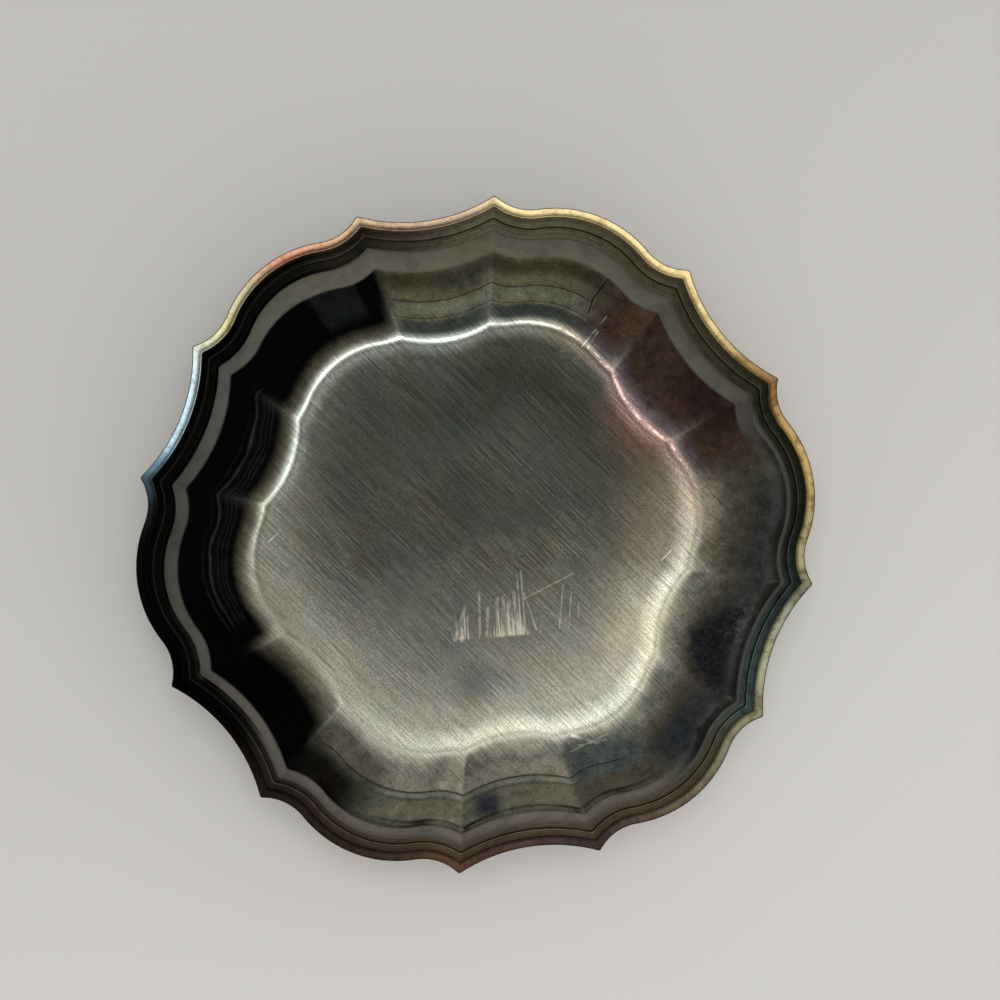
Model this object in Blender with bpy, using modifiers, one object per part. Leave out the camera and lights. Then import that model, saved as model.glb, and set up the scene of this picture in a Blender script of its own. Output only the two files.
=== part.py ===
"""Scalloped candy dish: a pressed bowl with twelve fluted panels, and the moulded border round its edge.

Metres, +Z up. The dish stands on z = 0 with its centre on the Z axis, and the middle of a wide panel is on +X.
"""

from math import asin, atan, atan2, copysign, cos, pi, radians, sin, sqrt, tau

import bmesh
import bpy
from mathutils import Matrix, Vector

# Overall
DISH_HEIGHT = 0.025
SHEET_THICKNESS = 0.001
JOINT_GAP = 0.00035

# Plan: a point, a wide panel that bows outwards, a point, a narrow panel that bows inwards, six times round
REPEATS = 6
POINT_ANGLE = radians(18.0)

RIM_POINT_RADIUS = 0.0825
RIM_WIDE_BOW = 0.0044
RIM_WIDE_ARC_RADIUS = 0.029
RIM_NARROW_DIP = 0.0037

FLOOR_POINT_RADIUS = 0.0545
FLOOR_WIDE_BOW = 0.0053
FLOOR_WIDE_ARC_RADIUS = 0.024
FLOOR_NARROW_DIP = 0.0024

# Where a wide panel's outward bow ends and its hollow end begins, on the way from its middle to its point
RIM_BOW_SHARE = 0.565
FLOOR_BOW_SHARE = 0.70

# Border, from its outer edge inwards and down: a flat lip, a cove, a half-round reed and a leaning band
LIP_WIDTH = 0.0023
LIP_EDGE = 0.0009
ARRIS = 0.00025
COVE_WIDTH = 0.0009
COVE_DEPTH = 0.0050
REED_RADIUS = 0.0006
BAND_WIDTH = 0.0015
BAND_HEIGHT = 0.0045
BORDER_WALL = 0.0014

# The groove under the reed, in radii of the reed from its centre
GROOVE_WIDTH_SHARE = 0.5
GROOVE_DEPTH_SHARE = 1.5

# The band's lower edge laps over the bowl's collar
LOWER_EDGE = 0.00055
LAP_HEIGHT = 0.0041

# Smoothness
BOW_STEPS = 4
END_STEPS = 3
NARROW_STEPS = 3
WALL_STEPS = 9
COVE_STEPS = 3
REED_POINTS = 4
FLAT_FLOOR_SHARE = 0.93
SHARP_ANGLE = radians(32.0)

SILVER = (0.40, 0.385, 0.33, 1.0)
SILVER_ROUGHNESS = 0.32
YELLOWED_SILVER = (0.62, 0.52, 0.33, 1.0)
YELLOWED_ROUGHNESS = 0.22


def clear_scene():
    for existing in list(bpy.data.objects):
        bpy.data.objects.remove(existing, do_unlink=True)


def metal(name, colour, roughness):
    material = bpy.data.materials.new(name)
    material.use_nodes = True
    shader = material.node_tree.nodes["Principled BSDF"]
    shader.inputs["Base Color"].default_value = colour
    shader.inputs["Metallic"].default_value = 1.0
    shader.inputs["Roughness"].default_value = roughness
    return material


def towards(angle):
    return Vector((cos(angle), sin(angle)))


def angle_of(vector):
    return atan2(vector.y, vector.x)


def arc(centre, radius, start, end, steps):
    """Points of an arc the short way round, without its last one."""
    turn = (end - start + pi) % tau - pi
    return [centre + radius * towards(start + turn * step / steps) for step in range(steps)]


def meeting(centre_a, radius_a, centre_b, radius_b):
    """The crossing of two circles left of the line from a to b, or right of it where the first radius is negative."""
    apart = centre_b - centre_a
    distance = apart.length
    along = (distance**2 + radius_a**2 - radius_b**2) / (2 * distance)
    across = copysign(sqrt(radius_a**2 - along**2), radius_a)
    unit = apart / distance
    return centre_a + along * unit + across * Vector((-unit.y, unit.x))


class Plan:
    """A scalloped outline. An inset outline is parallel to it, with its points where the arcs still meet.

    A wide panel's bow runs smoothly into an end arc at each side: a hollow one, with its centre outside the
    outline, or where the bow is high a rounded one, with a negative radius and its centre inside.
    """

    def __init__(self, point_radius, bow, bow_radius, bow_share, dip):
        point = point_radius * towards(POINT_ANGLE)
        turn = asin(bow_share * point.y / bow_radius)
        self.bow_radius = bow_radius
        self.bow_turn = turn
        self.bow_centre = Vector((point.x + bow - bow_radius, 0.0))
        join = self.bow_centre + bow_radius * towards(turn)
        to_point = point - join
        self.end_radius = to_point.length_squared / (2 * to_point.dot(towards(turn)))
        self.end_centre = join + self.end_radius * towards(turn)
        half_angle = pi / REPEATS - POINT_ANGLE
        half_chord = point_radius * sin(half_angle)
        self.narrow_radius = (half_chord**2 + dip**2) / (2 * dip)
        middle = point_radius * cos(half_angle) - dip
        self.narrow_centre = (middle + self.narrow_radius) * towards(pi / REPEATS)

    def half_repeat(self, inset):
        """From the middle of a wide panel, past a point, to the middle of a narrow panel."""
        end_radius = self.end_radius + inset
        narrow_radius = self.narrow_radius + inset
        point = meeting(self.end_centre, end_radius, self.narrow_centre, narrow_radius)
        bow = arc(self.bow_centre, self.bow_radius - inset, 0.0, self.bow_turn, BOW_STEPS)
        end_turn = angle_of((point - self.end_centre) / end_radius)
        end = arc(self.end_centre, end_radius, self.bow_turn + pi, end_turn, END_STEPS)
        narrow_turn = angle_of(point - self.narrow_centre)
        narrow = arc(self.narrow_centre, narrow_radius, narrow_turn, pi / REPEATS + pi, NARROW_STEPS)
        middle = self.narrow_centre - narrow_radius * towards(pi / REPEATS)
        return bow + end + narrow + [middle]

    def outline(self, inset=0.0):
        half = self.half_repeat(inset)
        mirrored = [Vector((point.x, -point.y)) for point in half[1:-1]]
        repeat = list(reversed(mirrored)) + half
        turns = [Matrix.Rotation(tau * number / REPEATS, 2) for number in range(REPEATS)]
        return [turn @ point for turn in turns for point in repeat]


def raised(outline, height):
    return [Vector((point.x, point.y, height)) for point in outline]


def mixed(first, second, share):
    return [a.lerp(b, share) for a, b in zip(first, second)]


def loft(name, rings, closed, fill_last):
    """A skin over rings of matching points. A closed one joins its last ring to its first."""
    mesh = bpy.data.meshes.new(name)
    shape = bmesh.new()
    rows = [[shape.verts.new(point) for point in ring] for ring in rings]
    below = rows[1:] + rows[:1] if closed else rows[1:]
    for upper, lower in zip(rows, below):
        for index in range(len(upper)):
            after = (index + 1) % len(upper)
            shape.faces.new((upper[index], upper[after], lower[after], lower[index]))
    if fill_last:
        shape.faces.new(rows[-1])
    shape.to_mesh(mesh)
    shape.free()
    mesh.shade_smooth()
    mesh.set_sharp_from_angle(angle=SHARP_ANGLE)
    return bpy.data.objects.new(name, mesh)


def place(piece, collection, material):
    piece.data.materials.append(material)
    collection.objects.link(piece)


class BorderSizes:
    """Insets from the rim's outline and depths below the lip, worked out from the border's parts."""

    reed_inset = LIP_WIDTH + COVE_WIDTH
    reed_depth = COVE_DEPTH + REED_RADIUS
    groove_inset = reed_inset + GROOVE_WIDTH_SHARE * REED_RADIUS
    groove_depth = reed_depth + GROOVE_DEPTH_SHARE * REED_RADIUS
    foot_inset = groove_inset + BAND_WIDTH
    foot_depth = groove_depth + BAND_HEIGHT
    back_inset = foot_inset - LOWER_EDGE
    shoulder_depth = foot_depth - LAP_HEIGHT
    shoulder_inset = back_inset - LAP_HEIGHT * BAND_WIDTH / BAND_HEIGHT
    collar_depth = shoulder_depth + JOINT_GAP
    collar_inset = shoulder_inset - JOINT_GAP


def bowl_rings(rim, floor):
    """From the top of the collar, down the inside of the wall, to the flat of the floor."""
    border_foot = DISH_HEIGHT - BorderSizes.foot_depth
    collar_top = raised(rim.outline(BorderSizes.collar_inset), DISH_HEIGHT - BorderSizes.collar_depth)
    wall_top = raised(rim.outline(BorderSizes.back_inset - JOINT_GAP), border_foot)
    wall_foot = raised(floor.outline(), SHEET_THICKNESS)
    rings = [collar_top]
    run = wall_top[0].xy.length - wall_foot[0].xy.length
    rise = border_foot - SHEET_THICKNESS
    steepest = 2 * atan(rise / run)
    for step in range(WALL_STEPS + 1):
        slope = steepest * (1 - step / WALL_STEPS)
        ring = mixed(wall_foot, wall_top, sin(slope) / sin(steepest))
        height = SHEET_THICKNESS + rise * (1 - cos(slope)) / (1 - cos(steepest))
        rings.append([Vector((point.x, point.y, height)) for point in ring])
    centre = Vector((0.0, 0.0, SHEET_THICKNESS))
    rings.append([centre.lerp(point, FLAT_FLOOR_SHARE) for point in wall_foot])
    return rings


def make_bowl(collection, rim, floor):
    bowl = loft("bowl", bowl_rings(rim, floor), closed=False, fill_last=True)
    place(bowl, collection, metal("brushed_silver", SILVER, SILVER_ROUGHNESS))
    shell = bowl.modifiers.new("sheet", "SOLIDIFY")
    shell.thickness = SHEET_THICKNESS
    shell.offset = -1.0
    shell.use_even_offset = True
    shell.use_quality_normals = True


def border_section():
    """Insets and depths round the border's section, from the outside of the lip over its inner face and back."""
    sizes = BorderSizes
    lip = [(0.0, LIP_EDGE), (0.0, ARRIS), (ARRIS, 0.0), (LIP_WIDTH - ARRIS, 0.0)]
    cove_drop = COVE_DEPTH - ARRIS
    cove_turns = [pi / 2 * step / COVE_STEPS for step in range(COVE_STEPS)]
    cove = [(LIP_WIDTH + COVE_WIDTH * (1 - cos(turn)), ARRIS + cove_drop * sin(turn)) for turn in cove_turns]
    reed_turns = [pi / 2 - pi / 4 * step for step in range(REED_POINTS)]
    reed = [
        (sizes.reed_inset + REED_RADIUS * cos(turn), sizes.reed_depth - REED_RADIUS * sin(turn))
        for turn in reed_turns
    ]
    band = [
        (sizes.groove_inset, sizes.groove_depth),
        (sizes.foot_inset, sizes.foot_depth),
        (sizes.back_inset, sizes.foot_depth),
        (sizes.shoulder_inset, sizes.shoulder_depth),
    ]
    outside = [
        (sizes.collar_inset - SHEET_THICKNESS, sizes.shoulder_depth),
        (LIP_WIDTH - BORDER_WALL, (LIP_EDGE + sizes.shoulder_depth) / 2),
        (LIP_WIDTH - BORDER_WALL - ARRIS, LIP_EDGE + ARRIS),
    ]
    return lip + cove + reed + band + outside


def make_border(collection, rim):
    rings = [raised(rim.outline(inset), DISH_HEIGHT - depth) for inset, depth in border_section()]
    border = loft("rim_border", rings, closed=True, fill_last=False)
    place(border, collection, metal("yellowed_silver", YELLOWED_SILVER, YELLOWED_ROUGHNESS))


def main():
    clear_scene()
    collection = bpy.data.collections.new("candy_dish")
    bpy.context.scene.collection.children.link(collection)
    rim = Plan(RIM_POINT_RADIUS, RIM_WIDE_BOW, RIM_WIDE_ARC_RADIUS, RIM_BOW_SHARE, RIM_NARROW_DIP)
    floor = Plan(FLOOR_POINT_RADIUS, FLOOR_WIDE_BOW, FLOOR_WIDE_ARC_RADIUS, FLOOR_BOW_SHARE, FLOOR_NARROW_DIP)
    make_bowl(collection, rim, floor)
    make_border(collection, rim)


main()
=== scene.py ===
"""Looks of the candy dish: fine meshes for the bowl and its border, tarnished silver with painted light and
shade, and a soft studio.
"""

from math import asin, atan2, copysign, cos, degrees, exp, pi, radians, sin, sqrt, tan, tau

import bmesh
import bpy
from mathutils import Matrix, Vector


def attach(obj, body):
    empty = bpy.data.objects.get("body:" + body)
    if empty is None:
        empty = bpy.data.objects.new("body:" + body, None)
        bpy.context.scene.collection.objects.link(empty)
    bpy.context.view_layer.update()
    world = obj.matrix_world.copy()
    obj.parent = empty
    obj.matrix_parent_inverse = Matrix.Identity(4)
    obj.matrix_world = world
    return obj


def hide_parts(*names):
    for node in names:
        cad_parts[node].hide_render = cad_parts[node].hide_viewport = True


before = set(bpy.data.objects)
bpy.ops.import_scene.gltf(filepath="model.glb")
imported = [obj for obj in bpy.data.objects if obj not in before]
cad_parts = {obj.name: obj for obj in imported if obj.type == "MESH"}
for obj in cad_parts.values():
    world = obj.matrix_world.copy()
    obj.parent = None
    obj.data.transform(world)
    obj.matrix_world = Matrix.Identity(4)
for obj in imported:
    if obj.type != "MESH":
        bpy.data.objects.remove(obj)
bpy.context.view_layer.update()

# Sizes of the dish, in metres
DISH_HEIGHT = 0.025
SHEET_THICKNESS = 0.001
JOINT_GAP = 0.00035

# Plan: a point, a wide panel that bows outwards, a point, a narrow panel that bows inwards, six times round
REPEATS = 6
POINT_ANGLE = radians(18.0)
RIM_POINT_RADIUS = 0.0825
RIM_WIDE_BOW = 0.0044
RIM_WIDE_ARC_RADIUS = 0.029
RIM_BOW_SHARE = 0.565
RIM_NARROW_DIP = 0.0037
FLOOR_POINT_RADIUS = 0.0545
FLOOR_WIDE_BOW = 0.0053
FLOOR_WIDE_ARC_RADIUS = 0.024
FLOOR_BOW_SHARE = 0.7
FLOOR_NARROW_DIP = 0.0024

# Wall's side view: the floor starts to curl up just inside its edge, and the wall steepens up to the border
FLOOR_CURL = 0.0012
FLOOR_EDGE_SLOPE = radians(6.5)
WALL_TOP_SLOPE = radians(58.0)
FOOT_PULL = 0.0055
TOP_PULL = 0.0075

# Border
LIP_WIDTH = 0.0023
LIP_EDGE = 0.0009
LIP_ROUND = 0.00025
COVE_WIDTH = 0.0009
COVE_DEPTH = 0.005
REED_RADIUS = 0.0006
GROOVE_INSET = 0.0035
GROOVE_DEPTH = 0.0065
BAND_WIDTH = 0.0015
BAND_HEIGHT = 0.0045
BORDER_WALL = 0.0014
LOWER_EDGE = 0.00055
LAP_HEIGHT = 0.0041
FOOT_INSET = GROOVE_INSET + BAND_WIDTH
FOOT_DEPTH = GROOVE_DEPTH + BAND_HEIGHT
BACK_INSET = FOOT_INSET - LOWER_EDGE
SHOULDER_DEPTH = FOOT_DEPTH - LAP_HEIGHT
SHOULDER_INSET = BACK_INSET - LAP_HEIGHT * BAND_WIDTH / BAND_HEIGHT
COLLAR_DEPTH = SHOULDER_DEPTH + JOINT_GAP
COLLAR_INSET = SHOULDER_INSET - JOINT_GAP

# What the marks say beyond the shares: more than 1 up the collar, and less than 0 on the lip's outer arris
COLLAR_MARK = 0.2
OUTER_MARK = 0.12

# Corner rounding at the twelve points, and mesh fineness
CORNER = 0.0006
BOW_STEPS = 26
END_STEPS = 18
CORNER_STEPS = 4
NARROW_STEPS = 16
COLLAR_STEPS = 6
WALL_STEPS = 96
COVE_STEPS = 12
ROUND_STEPS = 5
FLOOR_RINGS = 40
SHARP_ANGLE = radians(40.0)

# Fine lines that the die left in the wall: share of the way from the floor up to the border, and the first
# and last direction in which each shows, in degrees from the right of the picture and counted upwards
DIE_LINES = ((0.27, 60, 114), (0.455, 60, 114), (0.47, 230, 307), (0.8, 246, 310))
DIE_LINE_FADE = 4.0
DIE_LINE_DEPTH = 0.00006
DIE_LINE_WIDTH = 0.00035

# Fine beads along the border's lower band: share of the way down it
BEAD_SHARES = (0.2, 0.48)
BEAD_HEIGHT = 0.0001
BEAD_WIDTH = 0.0003
BAND_STEPS = 40

# The camera's own axes: right and up in the picture, turned from the dish's by this angle
PICTURE_TURN = radians(8.8)

# The brushed grain runs down to the right in the picture, this far from level
GRAIN_TURN = radians(45.0)

CIRCLE = 360.0
# Share of a scratch's half width that is fully bright
STROKE_CORE = 0.3


def towards(angle):
    return Vector((cos(angle), sin(angle)))


def angle_of(vector):
    return atan2(vector.y, vector.x)


def arc(centre, radius, start, end, steps):
    """Points of an arc the short way round, without its last one."""
    turn = (end - start + pi) % tau - pi
    return [centre + radius * towards(start + turn * step / steps) for step in range(steps)]


def meeting(centre_a, radius_a, centre_b, radius_b):
    """The crossing of two circles left of the line from a to b, or right of it for a first radius below 0."""
    apart = centre_b - centre_a
    distance = apart.length
    along = (distance**2 + radius_a**2 - radius_b**2) / (2 * distance)
    across = copysign(sqrt(radius_a**2 - along**2), radius_a)
    unit = apart / distance
    return centre_a + along * unit + across * Vector((-unit.y, unit.x))


class Plan:
    """A scalloped outline, its parallel insets, and the small rounding of its points."""

    def __init__(self, point_radius, bow, bow_radius, bow_share, dip):
        point = point_radius * towards(POINT_ANGLE)
        turn = asin(bow_share * point.y / bow_radius)
        self.bow_radius = bow_radius
        self.bow_turn = turn
        self.bow_centre = Vector((point.x + bow - bow_radius, 0.0))
        join = self.bow_centre + bow_radius * towards(turn)
        to_point = point - join
        self.end_radius = to_point.length_squared / (2 * to_point.dot(towards(turn)))
        self.end_centre = join + self.end_radius * towards(turn)
        half_angle = pi / REPEATS - POINT_ANGLE
        half_chord = point_radius * sin(half_angle)
        self.narrow_radius = (half_chord**2 + dip**2) / (2 * dip)
        middle = point_radius * cos(half_angle) - dip
        self.narrow_centre = (middle + self.narrow_radius) * towards(pi / REPEATS)

    def half_repeat(self, inset, corner):
        """From the middle of a wide panel, past a point, to the middle of a narrow panel."""
        end_radius = self.end_radius + inset
        narrow_radius = self.narrow_radius + inset
        point = meeting(self.end_centre, end_radius, self.narrow_centre, narrow_radius)
        bow = arc(self.bow_centre, self.bow_radius - inset, 0.0, self.bow_turn, BOW_STEPS)
        end_turn = angle_of((point - self.end_centre) / end_radius)
        end_start = self.bow_turn + pi
        back = copysign(corner / end_radius, (end_turn - end_start + pi) % tau - pi)
        end = arc(self.end_centre, end_radius, end_start, end_turn - back, END_STEPS)
        before = self.end_centre + end_radius * towards(end_turn - back)
        narrow_turn = angle_of(point - self.narrow_centre)
        narrow_end = pi / REPEATS + pi
        ahead = copysign(corner / narrow_radius, (narrow_end - narrow_turn + pi) % tau - pi)
        after = self.narrow_centre + narrow_radius * towards(narrow_turn + ahead)
        shares = [step / CORNER_STEPS for step in range(CORNER_STEPS)]
        rounding = [before.lerp(point, share).lerp(point.lerp(after, share), share) for share in shares]
        narrow = arc(self.narrow_centre, narrow_radius, narrow_turn + ahead, narrow_end, NARROW_STEPS)
        middle = self.narrow_centre - narrow_radius * towards(pi / REPEATS)
        return bow + end + rounding + narrow + [middle]

    def outline(self, inset=0.0, corner=CORNER):
        half = self.half_repeat(inset, corner)
        mirrored = [Vector((point.x, -point.y)) for point in half[1:-1]]
        repeat = list(reversed(mirrored)) + half
        turns = [Matrix.Rotation(tau * number / REPEATS, 2) for number in range(REPEATS)]
        return [turn @ point for turn in turns for point in repeat]


RIM = Plan(RIM_POINT_RADIUS, RIM_WIDE_BOW, RIM_WIDE_ARC_RADIUS, RIM_BOW_SHARE, RIM_NARROW_DIP)
FLOOR = Plan(FLOOR_POINT_RADIUS, FLOOR_WIDE_BOW, FLOOR_WIDE_ARC_RADIUS, FLOOR_BOW_SHARE, FLOOR_NARROW_DIP)


def raised(outline, height):
    return [Vector((point.x, point.y, height)) for point in outline]


class Skin:
    """Rings of matching points, each with its mark for the materials, that become one smooth mesh."""

    def __init__(self):
        self.rings = []
        self.marks = []

    def add(self, ring, mark):
        self.rings.append(ring)
        self.marks.append(mark)

    def build(self, name, closed, fill_last):
        shape = bmesh.new()
        rows = [[shape.verts.new(point) for point in ring] for ring in self.rings]
        below = rows[1:] + rows[:1] if closed else rows[1:]
        for upper, lower in zip(rows, below):
            for index in range(len(upper)):
                after = (index + 1) % len(upper)
                shape.faces.new((upper[index], upper[after], lower[after], lower[index]))
        if fill_last:
            shape.faces.new(rows[-1])
        mesh = bpy.data.meshes.new(name)
        shape.to_mesh(mesh)
        shape.free()
        mesh.shade_smooth()
        mesh.set_sharp_from_angle(angle=SHARP_ANGLE)
        self.write_marks(mesh)
        write_grain_map(mesh)
        piece = bpy.data.objects.new(name, mesh)
        bpy.context.scene.collection.objects.link(piece)
        return piece

    def write_marks(self, mesh):
        """One number for each vertex, which the materials read as the way up the wall or down the border."""
        values = [mark for ring, mark in zip(self.rings, self.marks) for _ in ring]
        mesh.attributes.new("way", "FLOAT", "POINT").data.foreach_set("value", values)


def write_grain_map(mesh):
    """A flat map seen from above, with its U across the brushed grain, for the direction of the sheen."""
    turn = Matrix.Rotation(GRAIN_TURN + PICTURE_TURN - pi / 2, 2)
    layer = mesh.uv_layers.new(name="grain")
    places = [turn @ vertex.co.xy for vertex in mesh.vertices]
    for loop in mesh.loops:
        layer.uv[loop.index].vector = places[loop.vertex_index] / RIM_POINT_RADIUS


def picture_direction(point):
    return degrees(angle_of(point) + PICTURE_TURN) % CIRCLE


def die_line_dent(share, run, direction):
    """How far the die's lines sink the wall at this share of the way up it and in this direction."""
    dent = 0.0
    for line, first, last in DIE_LINES:
        inside = min(direction - first, last - direction) / DIE_LINE_FADE
        near = exp(-((share - line) * run / DIE_LINE_WIDTH) ** 2)
        dent += DIE_LINE_DEPTH * near * max(0.0, min(1.0, inside))
    return dent


def wall_profile(run, rise):
    """(share of the run, height, slope) for points of a curve up the wall, from the floor to the border."""
    start = Vector((0.0, 0.0))
    first = start + FOOT_PULL * towards(FLOOR_EDGE_SLOPE)
    end = Vector((run, rise))
    last = end - TOP_PULL * towards(WALL_TOP_SLOPE)
    points = []
    for step in range(WALL_STEPS + 1):
        share = step / WALL_STEPS
        sides = [a.lerp(b, share) for a, b in ((start, first), (first, last), (last, end))]
        before = sides[0].lerp(sides[1], share)
        after = sides[1].lerp(sides[2], share)
        point = before.lerp(after, share)
        points.append((point.x / run, point.y, angle_of(after - before)))
    return points


def bowl_skin():
    skin = Skin()
    foot = DISH_HEIGHT - FOOT_DEPTH
    wall_top = raised(RIM.outline(BACK_INSET - JOINT_GAP), foot)
    curl_rise = FLOOR_CURL * tan(FLOOR_EDGE_SLOPE) / 2
    edge_height = SHEET_THICKNESS + curl_rise
    wall_foot = raised(FLOOR.outline(), edge_height)
    for step in range(COLLAR_STEPS):
        share = step / COLLAR_STEPS
        inset = COLLAR_INSET + (BACK_INSET - JOINT_GAP - COLLAR_INSET) * share
        height = DISH_HEIGHT - COLLAR_DEPTH + (foot - DISH_HEIGHT + COLLAR_DEPTH) * share
        skin.add(raised(RIM.outline(inset), height), 1.0 + COLLAR_MARK * (1 - share))
    run = wall_top[0].xy.length - wall_foot[0].xy.length
    for share, up, slope in reversed(wall_profile(run, foot - edge_height)):
        ring = []
        for low, high in zip(wall_foot, wall_top):
            flat = low.xy.lerp(high.xy, share)
            dent = die_line_dent(share, run, picture_direction(flat))
            flat += flat.normalized() * dent * sin(slope)
            ring.append(Vector((flat.x, flat.y, edge_height + up - dent * cos(slope))))
        skin.add(ring, share)
    for step in range(1, FLOOR_RINGS):
        inwards = (step / FLOOR_RINGS) ** 2
        curl = max(0.0, 1 - inwards * FLOOR_POINT_RADIUS / FLOOR_CURL) ** 2
        height = SHEET_THICKNESS + curl_rise * curl
        flats = [point.xy * (1 - inwards) for point in wall_foot]
        skin.add(raised(flats, height), -inwards)
    return skin


def rounded(before, corner, after):
    """A corner of a section as a short curve through points either side of it."""
    start, middle, end = Vector(before), Vector(corner), Vector(after)
    shares = [step / ROUND_STEPS for step in range(ROUND_STEPS + 1)]
    return [tuple(start.lerp(middle, share).lerp(middle.lerp(end, share), share)) for share in shares]


def beaded(share):
    """Inset and depth at a share of the way down the border's lower band, with its fine beads."""
    beads = [exp(-((share - bead) * BAND_HEIGHT / BEAD_WIDTH) ** 2) for bead in BEAD_SHARES]
    inset = GROOVE_INSET + BAND_WIDTH * share + BEAD_HEIGHT * sum(beads)
    return inset, GROOVE_DEPTH + BAND_HEIGHT * share


def border_section():
    """Insets and depths round the border's section, from the lip's outside over the inner face and back."""
    small = LIP_ROUND
    outer_arris = rounded((0.0, small), (0.0, 0.0), (small, 0.0))
    inner_arris = rounded((LIP_WIDTH - small, 0.0), (LIP_WIDTH, 0.0), (LIP_WIDTH, small))
    reed_inset = LIP_WIDTH + COVE_WIDTH
    cove_drop = COVE_DEPTH - small
    cove_turns = [pi / 2 * step / COVE_STEPS for step in range(1, COVE_STEPS)]
    cove = [(reed_inset - COVE_WIDTH * cos(turn), small + cove_drop * sin(turn)) for turn in cove_turns]
    reed_depth = COVE_DEPTH + REED_RADIUS
    reed_turns = [pi / 2 - 3 * pi / 4 * step / COVE_STEPS for step in range(COVE_STEPS + 1)]
    reed = [
        (reed_inset + REED_RADIUS * cos(turn), reed_depth - REED_RADIUS * sin(turn)) for turn in reed_turns
    ]
    band = [beaded(step / BAND_STEPS) for step in range(BAND_STEPS)]
    thin = LOWER_EDGE / 4
    lean = thin * BAND_WIDTH / BAND_HEIGHT
    foot_start = (FOOT_INSET - lean, FOOT_DEPTH - thin)
    foot = rounded(foot_start, (FOOT_INSET, FOOT_DEPTH), (FOOT_INSET - thin, FOOT_DEPTH))
    back = [(BACK_INSET, FOOT_DEPTH), (SHOULDER_INSET, SHOULDER_DEPTH)]
    outside = [
        (COLLAR_INSET - SHEET_THICKNESS, SHOULDER_DEPTH),
        (LIP_WIDTH - BORDER_WALL, (LIP_EDGE + SHOULDER_DEPTH) / 2),
        (LIP_WIDTH - BORDER_WALL - LIP_ROUND, LIP_EDGE + LIP_ROUND),
        (0.0, LIP_EDGE),
    ]
    return outer_arris + inner_arris + cove + reed + band + foot + back + outside


def border_skin():
    skin = Skin()
    for inset, depth in border_section():
        outer = max(0.0, 1.0 - inset / LIP_ROUND)
        mark = depth / FOOT_DEPTH - OUTER_MARK * outer
        skin.add(raised(RIM.outline(inset), DISH_HEIGHT - depth), mark)
    return skin


class Nodes:
    """Short names for the nodes of one material or world."""

    def __init__(self, tree):
        self.tree = tree
        tree.nodes.clear()

    def add(self, kind, inputs=(), **settings):
        """A shader node of this kind, with values or links for its inputs."""
        node = self.tree.nodes.new("ShaderNode" + kind)
        for name, value in settings.items():
            setattr(node, name, value)
        for name, value in dict(inputs).items():
            self.set(node.inputs[name], value)
        return node

    def set(self, socket, value):
        if isinstance(value, bpy.types.NodeSocket):
            self.tree.links.new(value, socket)
        elif socket.type == "RGBA":
            socket.default_value = colour(value)
        else:
            socket.default_value = value

    def math(self, operation, first, second=0.0, third=0.0, clamp=False):
        inputs = {0: first, 1: second, 2: third}
        return self.add("Math", inputs, operation=operation, use_clamp=clamp).outputs[0]

    def times(self, first, second):
        return self.math("MULTIPLY", first, second)

    def plus(self, first, second):
        return self.math("ADD", first, second)

    def minus(self, first, second):
        return self.math("SUBTRACT", first, second)

    def rest(self, share):
        return self.minus(1.0, share)

    def split(self, vector):
        return self.add("SeparateXYZ", {0: vector}).outputs

    def vectors(self, operation, first, second=(0, 0, 0), scale=1.0, output="Vector"):
        inputs = {0: first, 1: second, 3: scale}
        return self.add("VectorMath", inputs, operation=operation).outputs[output]

    def between(self, value, low, high):
        """0 below low, 1 above high and smooth between."""
        inputs = {"Value": value, "From Min": low, "From Max": high}
        return self.add("MapRange", inputs, interpolation_type="SMOOTHSTEP").outputs["Result"]

    def mix(self, share, first, second, blend="MIX"):
        node = self.add("Mix", {"Factor": share}, data_type="RGBA", blend_type=blend)
        self.set(node.inputs[6], first)
        self.set(node.inputs[7], second)
        return node.outputs[2]

    def level(self, share, low, high):
        """A number that goes from low to high as the share goes from 0 to 1."""
        node = self.add("Mix", {"Factor": share}, data_type="FLOAT")
        self.set(node.inputs[2], low)
        self.set(node.inputs[3], high)
        return node.outputs[0]

    def ramp(self, value, stops):
        node = self.add("ValToRGB", {"Fac": value})
        elements = node.color_ramp.elements
        while len(elements) > 1:
            elements.remove(elements[-1])
        elements[0].position = stops[0][0]
        elements[0].color = colour(stops[0][1])
        for place, shade in stops[1:]:
            elements.new(place).color = colour(shade)
        return node.outputs["Color"]

    def noise(self, vector, scale, detail=2.0, roughness=0.5):
        inputs = {"Vector": vector, "Scale": scale, "Detail": detail, "Roughness": roughness}
        return self.add("TexNoise", inputs).outputs["Fac"]

    def patches(self, vector, scale, low, high, **settings):
        """Noise as smooth patches: 0 where it is below low, 1 above high."""
        return self.between(self.noise(vector, scale, **settings), low, high)

    def wandering(self, vector, scale, reach):
        """The places moved about by up to half of reach, so that patches get ragged edges."""
        inputs = {"Vector": vector, "Scale": scale, "Detail": 3.0}
        noise = self.add("TexNoise", inputs).outputs["Color"]
        centred = self.vectors("SUBTRACT", noise, (0.5, 0.5, 0.5))
        return self.vectors("ADD", vector, self.vectors("SCALE", centred, scale=reach))

    def mapped(self, vector, rotation=(0, 0, 0), scale=(1, 1, 1)):
        inputs = {"Vector": vector, "Rotation": rotation, "Scale": scale}
        return self.add("Mapping", inputs).outputs["Vector"]


def colour(shade):
    """A grey number or three shares as a colour with full alpha."""
    if isinstance(shade, (int, float)):
        return (shade, shade, shade, 1.0)
    return (*shade, 1.0)


def new_material(name):
    """A material, and the short names for its nodes."""
    material = bpy.data.materials.new(name)
    material.use_nodes = True
    return material, Nodes(material.node_tree)


def finish_surface(nodes, inputs):
    shader = nodes.add("BsdfPrincipled", inputs)
    nodes.add("OutputMaterial", {"Surface": shader.outputs[0]})


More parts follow.
